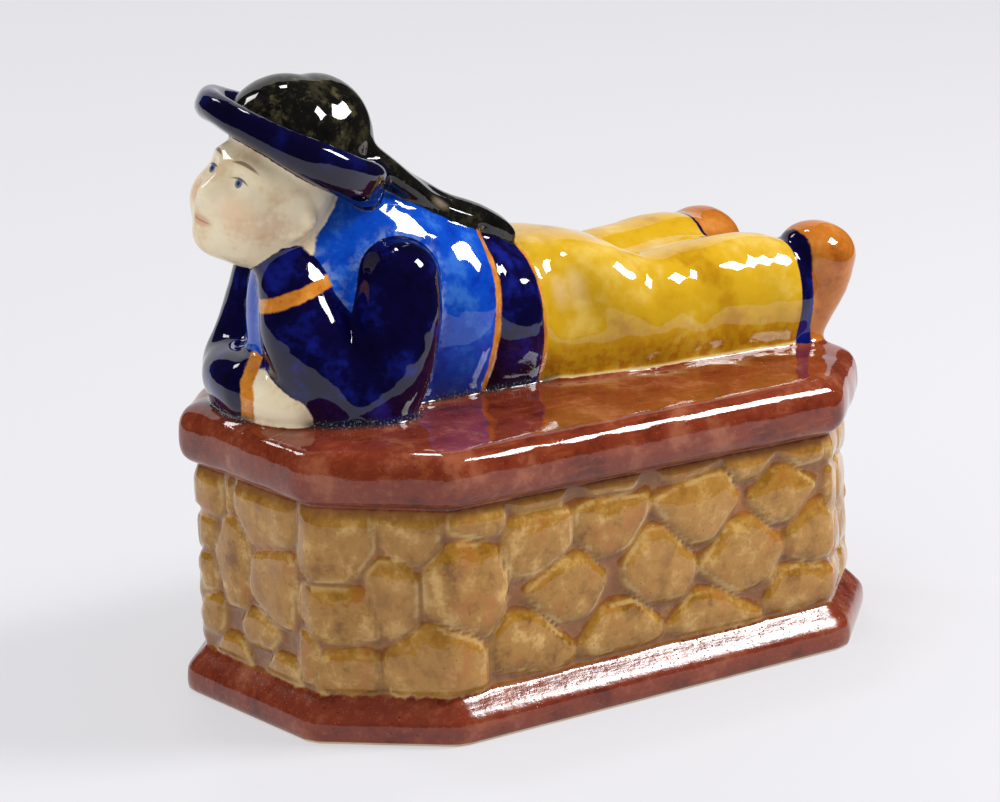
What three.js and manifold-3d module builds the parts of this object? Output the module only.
// Figural money box: a lad lying on a stone bench, glazed earthenware, cast in one hollow piece.
// Millimetres, +Z up, underside on z = 0, length along X with the head towards -X.
import * as THREE from 'three';
import { mergeVertices } from 'three/addons/utils/BufferGeometryUtils.js';
import Module from 'manifold-3d';

const wasm = await Module();
wasm.setup();

// Bench sizes
const halfLength = 70;
const halfWidth = 44.1;
const cornerLeg = 21.66;
const wallInset = 4.4;
const wallFoot = 8.7;
const wallTop = 46.3;
const slabTop = 58.4;
const cornerCut = 1.1;
const stoneRelief = 1.1;
const jointHalf = 1.1;
const shortestEdge = 2.2;
const narrowestStone = 0.8;
const stoneBevel = 1.6;
const stoneRoot = 0.9;
const benchLean = -1.57 / 70;
const leanFrom = 9;
const leanFull = 46;
const centreShift = new THREE.Vector3(-1.8, 0, 0);

// Hollow and coin slot
const wallThickness = 4.8;
const slotLength = 36;
const slotHeight = 5.2;
const slotZ = 37;

// Turned directions of the head and the hat
const hatUp = new THREE.Vector3(0.443, -0.144, 0.885).normalize();
const hatCentre = new THREE.Vector3(-52.7, 3.5, 111.1);
const faceAway = new THREE.Vector3(-1, 0, 0).addScaledVector(hatUp, hatUp.x).normalize();
const headLeft = hatUp.clone().cross(faceAway);
const hatSegments = 22;
const headCentre = hatCentre.clone().addScaledVector(hatUp, -10.8);

// Turns a closed surface into a solid; triangles that collapse at a pole are left out
function solid(geometry) {
  const bare = geometry.clone();
  for (const name of ['normal', 'uv']) bare.deleteAttribute(name);
  const merged = mergeVertices(bare, 1e-4);
  const corners = [];
  for (let i = 0; i < merged.index.count; i += 3) {
    const [a, b, c] = [0, 1, 2].map((k) => merged.index.getX(i + k));
    if (a !== b && b !== c && c !== a) corners.push(a, b, c);
  }
  return new wasm.Manifold(new wasm.Mesh({
    numProp: 3,
    vertProperties: new Float32Array(merged.attributes.position.array),
    triVerts: new Uint32Array(corners),
  }));
}

function surface(points, faces) {
  const geometry = new THREE.BufferGeometry();
  geometry.setAttribute('position', new THREE.Float32BufferAttribute(points.flatMap((p) => p.toArray()), 3));
  geometry.setIndex(faces.flat());
  return geometry;
}

// Closed skin over a stack of equal rings, with a fan at each end
function skin(rings) {
  const count = rings[0].length;
  const points = rings.flat();
  const faces = [];
  for (let k = 0; k + 1 < rings.length; k += 1) {
    for (let i = 0; i < count; i += 1) {
      const j = (i + 1) % count;
      const a = k * count + i;
      const b = k * count + j;
      faces.push([a, b, b + count], [a, b + count, a + count]);
    }
  }
  const middle = (ring) => ring.reduce((sum, p) => sum.add(p), new THREE.Vector3()).divideScalar(count);
  const first = points.length;
  points.push(middle(rings[0]), middle(rings.at(-1)));
  const last = (rings.length - 1) * count;
  for (let i = 0; i < count; i += 1) {
    const j = (i + 1) % count;
    faces.push([first, j, i], [first + 1, last + i, last + j]);
  }
  return surface(points, faces);
}

// Octagon of the bench drawn in by an inset, each corner cut by a short facet
function octagon(inset, z) {
  const a = halfLength - inset;
  const b = halfWidth - inset;
  const c = cornerLeg - inset * (2 - Math.SQRT2);
  const corners = [[a, c - b], [a, b - c], [a - c, b], [c - a, b], [-a, b - c], [-a, c - b], [c - a, -b], [a - c, -b]];
  const ring = [];
  corners.forEach(([x, y], i) => {
    const here = new THREE.Vector3(x, y, z);
    const before = new THREE.Vector3(...corners[(i + 7) % 8], z);
    const after = new THREE.Vector3(...corners[(i + 1) % 8], z);
    ring.push(here.clone().add(before.sub(here).setLength(cornerCut)));
    ring.push(here.clone().add(after.sub(here).setLength(cornerCut)));
  });
  return ring;
}

const benchProfile = [
  [1.0, 0], [0.2, 0.9], [0, 3.5], [0.25, 5.2], [1.2, 6.7], [wallInset, wallFoot],
  [wallInset, wallTop], [2.6, wallTop + 0.3], [1.1, 47.7], [0.5, 49.8], [0.5, 52.4], [1.0, 54.6], [2.6, 56.6], [5.2, 57.8],
  [9, slabTop],
];

const bench = () => solid(skin(benchProfile.map(([inset, z]) => octagon(inset, z))));

// Stones: centres [along the unrolled wall, height] of one half, course by course; the other half turns them round
const stoneCentres = [
  [2.5, 15], [19.7, 16.4], [35.6, 14.2], [47.4, 11.7], [65.4, 16.8], [87.4, 15.7], [111.9, 15.2], [132.7, 13],
  [154.8, 15.7], [173.5, 14.6],
  [-3, 28.5], [12.5, 27.9], [26.4, 28.2], [47.6, 22.8], [56.8, 29], [72.3, 29.3], [95.8, 25.5], [119.2, 25.3],
  [139.8, 23.7], [156.6, 24.5], [169.5, 27.5],
  [8, 38.6], [23.1, 37.7], [46.3, 38.6], [60.4, 41.3], [74.2, 41.4], [90.6, 36.4], [107.6, 35.9], [129.3, 35.9],
  [142.8, 42.5], [150.6, 34.3], [156.5, 43.6], [167, 39.5], [180, 36.5],
];

// Part of a polygon on one side of the line n.p = d
function clip(polygon, nx, ny, d) {
  const out = [];
  polygon.forEach((p, i) => {
    const q = polygon[(i + 1) % polygon.length];
    const sp = nx * p[0] + ny * p[1] - d;
    const sq = nx * q[0] + ny * q[1] - d;
    if (sp <= 0) out.push(p);
    if (sp * sq < 0) {
      const t = sp / (sp - sq);
      out.push([p[0] + t * (q[0] - p[0]), p[1] + t * (q[1] - p[1])]);
    }
  });
  return out;
}

// Cell of the wall that is nearer to one stone's centre than to any other, drawn in by a margin
function cell([u, v], centres, margin) {
  let polygon = [[u - 18, wallFoot], [u + 18, wallFoot], [u + 18, wallTop + 1], [u - 18, wallTop + 1]];
  for (const [otherU, otherV] of centres) {
    const length = Math.hypot(otherU - u, otherV - v);
    if (length > 0.01 && length < 40) {
      const nx = (otherU - u) / length;
      const ny = (otherV - v) / length;
      polygon = clip(polygon, nx, ny, nx * u + ny * v + length / 2 - margin);
    }
  }
  polygon = clip(polygon, 0, -1, -(wallFoot + 0.4 * margin));
  polygon = clip(polygon, 0, 1, wallTop + 0.6 - 0.8 * margin);
  return polygon.filter(([x, y], i) => {
    const [bx, by] = polygon[(i + polygon.length - 1) % polygon.length];
    return Math.hypot(x - bx, y - by) > shortestEdge;
  });
}

// The unrolled wall: corner points of the octagon at joint depth, and the length up to each
const wallCorners = (() => {
  const a = halfLength - wallInset;
  const b = halfWidth - wallInset;
  const c = cornerLeg - wallInset * (2 - Math.SQRT2);
  return [[-a, b - c], [-a, c - b], [c - a, -b], [a - c, -b], [a, c - b], [a, b - c], [a - c, b], [c - a, b]];
})();
const wallRuns = wallCorners.map(([x, y], i) => {
  const [nextX, nextY] = wallCorners[(i + 1) % 8];
  return Math.hypot(nextX - x, nextY - y);
});
const wallStarts = wallRuns.map((_, i) => wallRuns.slice(0, i).reduce((sum, run) => sum + run, 0));
const halfRound = wallStarts[4];

// Outward mitre at a corner, so both sides of a fold meet at the same point
function mitre(i) {
  const [x, y] = wallCorners[i];
  const [px, py] = wallCorners[(i + 7) % 8];
  const [nx, ny] = wallCorners[(i + 1) % 8];
  const before = new THREE.Vector2(y - py, px - x).normalize();
  const after = new THREE.Vector2(ny - y, x - nx).normalize();
  const sum = before.clone().add(after);
  return sum.divideScalar(1 + before.dot(after));
}

function onWall(side, u, v, height) {
  const [x, y] = wallCorners[side];
  const [nx, ny] = wallCorners[(side + 1) % 8];
  const t = (u - wallStarts[side]) / wallRuns[side];
  const out = new THREE.Vector2(ny - y, x - nx).normalize();
  if (t < 1e-6) out.copy(mitre(side));
  if (t > 1 - 1e-6) out.copy(mitre((side + 1) % 8));
  return new THREE.Vector3(x + t * (nx - x) + out.x * height, y + t * (ny - y) + out.y * height, v);
}

function stonePiece(side, base, top) {
  const drop = (ring, height) => ring.map(([u, v]) => onWall(side, u, v, height));
  return solid(skin([drop(base, -stoneRoot), drop(top, stoneRelief)]));
}

// Ring drawn towards its middle, point by point, so both rings keep the same count
function drawnIn(ring, by, side) {
  const u = ring.reduce((sum, p) => sum + p[0], 0) / ring.length;
  const v = ring.reduce((sum, p) => sum + p[1], 0) / ring.length;
  const fold = (x) => [wallStarts[side], wallStarts[side] + wallRuns[side]].some((edge) => Math.abs(x - edge) < 1e-6);
  return ring.map(([x, y]) => {
    const length = Math.hypot(x - u, y - v);
    const k = Math.max(0.3, 1 - by / length);
    return [fold(x) ? x : u + (x - u) * k, v + (y - v) * k];
  });
}

// Every stone is cut at the folds of the wall and wrapped side by side
function stones() {
  const turned = (turns) => turns.flatMap((turn) => stoneCentres.map(([u, v]) => [u + turn * halfRound, v]));
  const neighbours = turned([-2, -1, 0, 1, 2, 3]);
  const pieces = [];
  for (const centre of turned([-1, 0, 1, 2])) {
    const whole = cell(centre, neighbours, jointHalf);
    wallStarts.forEach((start, side) => {
      const part = clip(clip(whole, -1, 0, -start), 1, 0, start + wallRuns[side]);
      const along = part.map(([u]) => u);
      if (Math.max(...along) - Math.min(...along) > narrowestStone) {
        pieces.push(stonePiece(side, part, drawnIn(part, stoneBevel, side)));
      }
    });
  }
  return wasm.Manifold.union(pieces);
}

// Rows of stations [x, y, z, half width, half height] made smooth by a curve through them
function smooth(stations, steps) {
  const path = new THREE.CatmullRomCurve3(stations.map(([x, y, z]) => new THREE.Vector3(x, y, z)), false, 'catmullrom');
  const girth = new THREE.CatmullRomCurve3(stations.map((s) => new THREE.Vector3(s[3], s[4], 0)), false, 'catmullrom');
  return Array.from({ length: steps + 1 }, (_, i) => {
    const g = girth.getPoint(i / steps);
    return [...path.getPoint(i / steps).toArray(), g.x, g.y];
  });
}

// Body swept along its stations; side is the direction of the half widths; caps are the rounded end lengths;
// sole deepens the lower half, so a lying body meets the slab with steep sides
function limb(stations, { side, steps, count, caps, power = 2, rake = 0, sole = 1 }) {
  const rows = smooth(stations, steps);
  const at = rows.map(([x, y, z]) => new THREE.Vector3(x, y, z));
  const frames = rows.map((row, i) => {
    const along = at[Math.min(i + 1, steps)].clone().sub(at[Math.max(i - 1, 0)]).normalize();
    const across = side.clone().addScaledVector(along, -side.dot(along)).normalize();
    return { middle: at[i], along, across, up: along.clone().cross(across), w: row[3], h: row[4] };
  });
  const ring = ({ middle, along, across, up, w, h }, shift, scale) => Array.from({ length: count }, (_, k) => {
    const angle = 2 * Math.PI * k / count;
    const round = (value) => Math.sign(value) * Math.abs(value) ** (2 / power);
    const p = middle.clone().addScaledVector(along, shift);
    p.addScaledVector(across, w * scale * round(Math.cos(angle)));
    p.addScaledVector(up, h * scale * round(Math.sin(angle)) * (Math.sin(angle) < 0 ? sole : 1));
    p.x += rake * (p.z - rakeFrom);
    return p;
  });
  const bends = [66, 34].map((degrees) => degrees * Math.PI / 180);
  const rings = frames.map((frame) => ring(frame, 0, 1));
  if (caps[0] > 0) rings.unshift(...bends.map((b) => ring(frames[0], -caps[0] * Math.sin(b), Math.cos(b))));
  if (caps[1] > 0) rings.push(...bends.toReversed().map((b) => ring(frames.at(-1), caps[1] * Math.sin(b), Math.cos(b))));
  return solid(skin(rings));
}

const rakeFrom = 88;
const acrossY = new THREE.Vector3(0, 1, 0);
const acrossX = new THREE.Vector3(1, 0, 0);

function ball(centre, radii, axes = [acrossX, acrossY, new THREE.Vector3(0, 0, 1)], count = 16) {
  const geometry = new THREE.SphereGeometry(1, count, Math.round(count * 0.6));
  geometry.rotateX(Math.PI / 2);
  const [x, y, z] = axes.map((axis, i) => axis.clone().multiplyScalar(radii[i]));
  geometry.applyMatrix4(new THREE.Matrix4().makeBasis(x, y, z).setPosition(centre));
  return solid(geometry);
}

// Clothed body: waistcoat over jacket over the seat of the trousers
function torso() {
  const waistcoat = limb([
    [-50, 4.5, 79, 10, 15], [-43, 4.5, 80, 14.5, 21.5], [-35, 4, 80.5, 16.5, 25.5],
    [-26.5, 3.7, 79.5, 17.2, 20.7], [-20, 3.5, 77.5, 17.6, 18], [-14.5, 3.5, 76, 17.9, 16.3],
  ], { side: acrossY, steps: 7, count: 16, caps: [3, 0.8], power: 2.3, rake: 0.1, sole: 1.35 });
  const jacket = limb([[-22, 3.5, 75, 17, 16], [-9, 3.5, 74.2, 17.8, 15.2], [-4.2, 3.5, 73.7, 18, 14.8]],
    { side: acrossY, steps: 2, count: 16, caps: [0, 0.8], power: 2.3, sole: 1.35 });
  const seat = limb([[-12, 3.5, 72, 16, 13.6], [0, 3.6, 72.5, 16.7, 15], [8, 3.7, 72.2, 16.8, 15.2], [15, 3.75, 70.6, 16.4, 14.2],
    [22, 3.75, 68, 15, 11]], { side: acrossY, steps: 4, count: 16, caps: [0, 3], power: 2.3, sole: 1.25 });
  return wasm.Manifold.union([waistcoat, jacket, seat]);
}

// Trouser leg from the seat to the cuff; turn is -1 for the near leg and 1 for the far one
const legMiddle = 3.75;
function leg(turn) {
  const rows = [[3, 7.2, 71.5, 9.6, 15.4], [12, 8.2, 70.8, 9.6, 14.4], [22, 9.2, 69.2, 9.2, 11.9],
    [31, 10, 69, 9.2, 11.9], [41, 11.3, 69.2, 9.6, 12.5], [50, 12.7, 69.3, 9.8, 12.6], [56, 13.6, 68.8, 9.3, 11.2]];
  const placed = rows.map(([x, y, ...rest]) => [x, legMiddle + turn * y, ...rest]);
  return limb(placed, { side: acrossY, steps: 8, count: 12, caps: [0, 1.6], power: 2.2 });
}

// Stocking band and wooden shoe, heel up and toe on the slab
function clog(turn) {
  const y = legMiddle + turn * 15.6;
  const back = turn > 0 ? -6 : 0;
  const lower = turn > 0 ? -1.6 : 0;
  const sock = limb([[53, y - turn, 68.4, 8, 9.8], [60.4 + 0.6 * back, y - 0.6 * turn, 68.2, 7.8, 9.4]],
    { side: acrossY, steps: 1, count: 12, caps: [1, 1] });
  const shoe = limb([
    [67.2, y, 75.6, 8, 8.4], [66.4, y, 71, 8, 8.2], [64.4, y, 65, 7.2, 6.8], [61.9, y, 60.8, 6.2, 5.6], [60.4, y, 57.6, 5.8, 5],
  ].map(([x, across, z, ...girth]) => [x + back, across, z + lower, ...girth]),
  { side: acrossY, steps: 5, count: 12, caps: [6.8, 1] });
  return sock.add(shoe);
}

// Arms: the near one props the chin, the far one lies folded along the end of the slab
function nearArm() {
  const upper = limb([[-37.2, -11, 86, 8.4, 8.4], [-38.4, -12, 79.5, 8.9, 8.9], [-40.2, -12.5, 72, 8.8, 9],
    [-43.4, -12, 64.5, 9, 9], [-46.5, -9.5, 60, 9, 8.6]], { side: acrossX, steps: 4, count: 12, caps: [7.4, 3] });
  const fore = limb([[-46.6, -9.5, 60, 9.4, 8.8], [-51.7, -7, 68.9, 8.9, 8.7], [-54.7, -5, 75.5, 8.4, 8.2],
    [-55.8, -2.4, 80.7, 7.2, 7.2], [-56.3, -1.2, 84.4, 6.6, 6.6]], { side: acrossX, steps: 4, count: 11, caps: [4, 0.8] });
  const cuff = limb([[-55.9, -2.2, 81.2, 7.7, 7.6], [-56.2, -1.3, 84, 7.3, 7.2]],
    { side: acrossX, steps: 1, count: 12, caps: [0, 0.5] });
  const fist = ball(new THREE.Vector3(-56.3, 0, 88.4), [6.2, 6, 5.6], undefined, 10);
  return wasm.Manifold.union([upper, fore, cuff, fist]);
}

function farArm() {
  const upper = limb([[-46.5, 18.6, 86.5, 7.8, 8.2], [-48.2, 19.8, 79.5, 7.4, 8], [-49.6, 21.2, 72.8, 7.6, 8.2],
    [-51.8, 21.6, 66.5, 8, 8.2], [-53, 20.5, 62.5, 8, 7.6]], { side: acrossX, steps: 4, count: 10, caps: [6.5, 3] });
  const fore = limb([[-53.5, 21.5, 64, 7.6, 7.4], [-58.5, 16, 64, 7, 7], [-61.4, 9.5, 64, 6.4, 6.6], [-62, 5.5, 64, 6, 6.3]],
    { side: acrossX, steps: 4, count: 11, caps: [4, 0.8] });
  const cuff = limb([[-62, 6.6, 64.4, 6.7, 6.8], [-62.2, 4, 64.4, 6.5, 6.7]],
    { side: acrossX, steps: 1, count: 12, caps: [0, 0.5] });
  const hand = limb([[-61.6, 4, 63.6, 5.2, 5.4], [-60, -1.6, 62.8, 5.8, 5.2], [-57.4, -7, 61.4, 5.2, 4.4]],
    { side: acrossX, steps: 3, count: 10, caps: [1, 3] });
  return wasm.Manifold.union([upper, fore, cuff, hand]);
}

// Head in its own directions: forward, left, up
const headAxes = [faceAway, headLeft, hatUp];
const inHead = (forward, left, up) => headCentre.clone()
  .addScaledVector(faceAway, forward).addScaledVector(headLeft, left).addScaledVector(hatUp, up);

function head() {
  const rows = [[2.6, -12, 6.2, 7.4], [1.6, -8, 9.8, 11], [0.4, -3, 12, 12.8], [0, 3, 12.4, 13.2], [0, 8, 11.6, 12.4]];
  const skull = limb(rows.map(([forward, up, w, d]) => [...inHead(forward, 0, up).toArray(), w, d]),
    { side: headLeft, steps: 6, count: 16, caps: [2.2, 2] });
  const nose = ball(inHead(13, 0, -1.6), [2.2, 1.9, 2.2], headAxes, 8);
  const ears = [-1, 1].map((turn) => ball(inHead(-2, turn * 12, -2), [2.6, 1.5, 3.6], headAxes, 8));
  const neck = limb([[-52, 4, 92, 9, 9], [-45, 4, 86, 11, 11]], { side: acrossY, steps: 1, count: 10, caps: [0, 0] });
  return wasm.Manifold.union([skull, nose, ...ears, neck]);
}

// Round hat with a rolled brim, turned about the hat's own axis
function hat() {
  const turned = (profile) => {
    const lathe = new THREE.LatheGeometry(profile.map(([r, h]) => new THREE.Vector2(r, h)), hatSegments);
    return new THREE.BufferGeometry().copy(lathe);
  };
  const place = (body, forward) => {
    const middle = hatCentre.clone().addScaledVector(faceAway, forward);
    return solid(body.applyMatrix4(new THREE.Matrix4().makeBasis(headLeft, hatUp, faceAway).setPosition(middle)));
  };
  const brim = turned([[0, -3.4], [14.6, -3.3], [18.8, -2.1], [20.4, -0.2], [20.6, 2.4], [19.5, 4.9], [17.6, 6],
    [15.2, 4.9], [0, 4.9]]);
  const crown = turned([[0, 3], [13.4, 3], [13.2, 7.4], [11.5, 11.4], [8.4, 14.1], [4.2, 15.3], [0, 15.6]]);
  return place(brim, 0).add(place(crown, -1.6));
}

// Two ribbon ends lying side by side down the back
function ribbons() {
  const rows = [[-44, 4, 118, 5, 2.4], [-38, 4, 114.2, 5.4, 2.6], [-32.5, 3.8, 109.8, 5.6, 2.7], [-26, 3.6, 102.6, 5.6, 2.9],
    [-18, 3.5, 96.2, 5.5, 2.8], [-10, 3.5, 92.4, 5.4, 2.7], [-2.5, 3.5, 88.8, 5.2, 2.4]];
  return limb(rows, { side: acrossY, steps: 9, count: 10, caps: [0, 1.2], power: 2.6 });
}

// Hollow of the cast shell: bench, body and head run together
function hollow() {
  const inset = wallInset + wallThickness;
  const room = solid(skin([
    octagon(inset + 1.5, wallThickness), octagon(inset, wallThickness + 1.5),
    octagon(inset, slabTop - wallThickness - 1.5), octagon(inset + 1.5, slabTop - wallThickness),
  ]));
  const chest = limb([[-40, 4, 80, 10, 15], [-33, 3.9, 78, 12, 18], [-20, 3.5, 75, 12.5, 13.5], [-2, 3.5, 70, 11.8, 12.5], [12, 3.6, 68, 11.5, 12]],
    { side: acrossY, steps: 4, count: 10, caps: [2, 2], power: 2.2 });
  const inLegs = [-1, 1].map((turn) => limb([
    [4, legMiddle + turn * 7.2, 67, 5, 10], [30, legMiddle + turn * 10, 64.5, 4.4, 11.4], [47, legMiddle + turn * 12.2, 63.5, 4.6, 12],
  ], { side: acrossY, steps: 3, count: 8, caps: [2, 2] }));
  const inHeadRoom = ball(headCentre, [8.4, 7.6, 8.8], headAxes, 9);
  const throat = limb([[-55, 4, 97, 4.5, 4.5], [-40, 4, 86, 6.5, 6.5]], { side: acrossY, steps: 1, count: 8, caps: [1, 2] });
  return wasm.Manifold.union([room, chest, ...inLegs, inHeadRoom, throat]);
}

function coinSlot() {
  const cutter = new THREE.BoxGeometry(slotLength, 14, slotHeight);
  cutter.translate(0, halfWidth - wallInset, slotZ);
  return solid(cutter);
}

// The whole bench leans a little: what stands above the plinth rises towards the head
function lean(position) {
  for (let i = 0; i < position.count; i += 1) {
    const share = THREE.MathUtils.clamp((position.getZ(i) - leanFrom) / (leanFull - leanFrom), 0, 1);
    position.setZ(i, position.getZ(i) + benchLean * position.getX(i) * share);
  }
}

function shell() {
  const outside = wasm.Manifold.union([
    bench(), stones(), torso(), leg(-1), leg(1), clog(-1), clog(1), nearArm(), farArm(), head(), hat(), ribbons(),
  ]);
  return outside.subtract(hollow()).subtract(coinSlot());
}

function mesh(name, body, look) {
  const { vertProperties, triVerts, numProp } = body.getMesh();
  const geometry = new THREE.BufferGeometry();
  const points = Array.from({ length: vertProperties.length / numProp * 3 }, (_, i) => vertProperties[Math.floor(i / 3) * numProp + i % 3]);
  geometry.setAttribute('position', new THREE.Float32BufferAttribute(points, 3));
  geometry.setIndex([...triVerts]);
  lean(geometry.attributes.position);
  geometry.translate(...centreShift.toArray());
  geometry.computeVertexNormals();
  const made = new THREE.Mesh(geometry, new THREE.MeshStandardMaterial(look));
  made.name = name;
  return made;
}

const group = new THREE.Group();
group.name = 'money_box';
group.add(mesh('money_box_body', shell(), { color: 0xa8712c, roughness: 0.12, metalness: 0 }));

export default group;
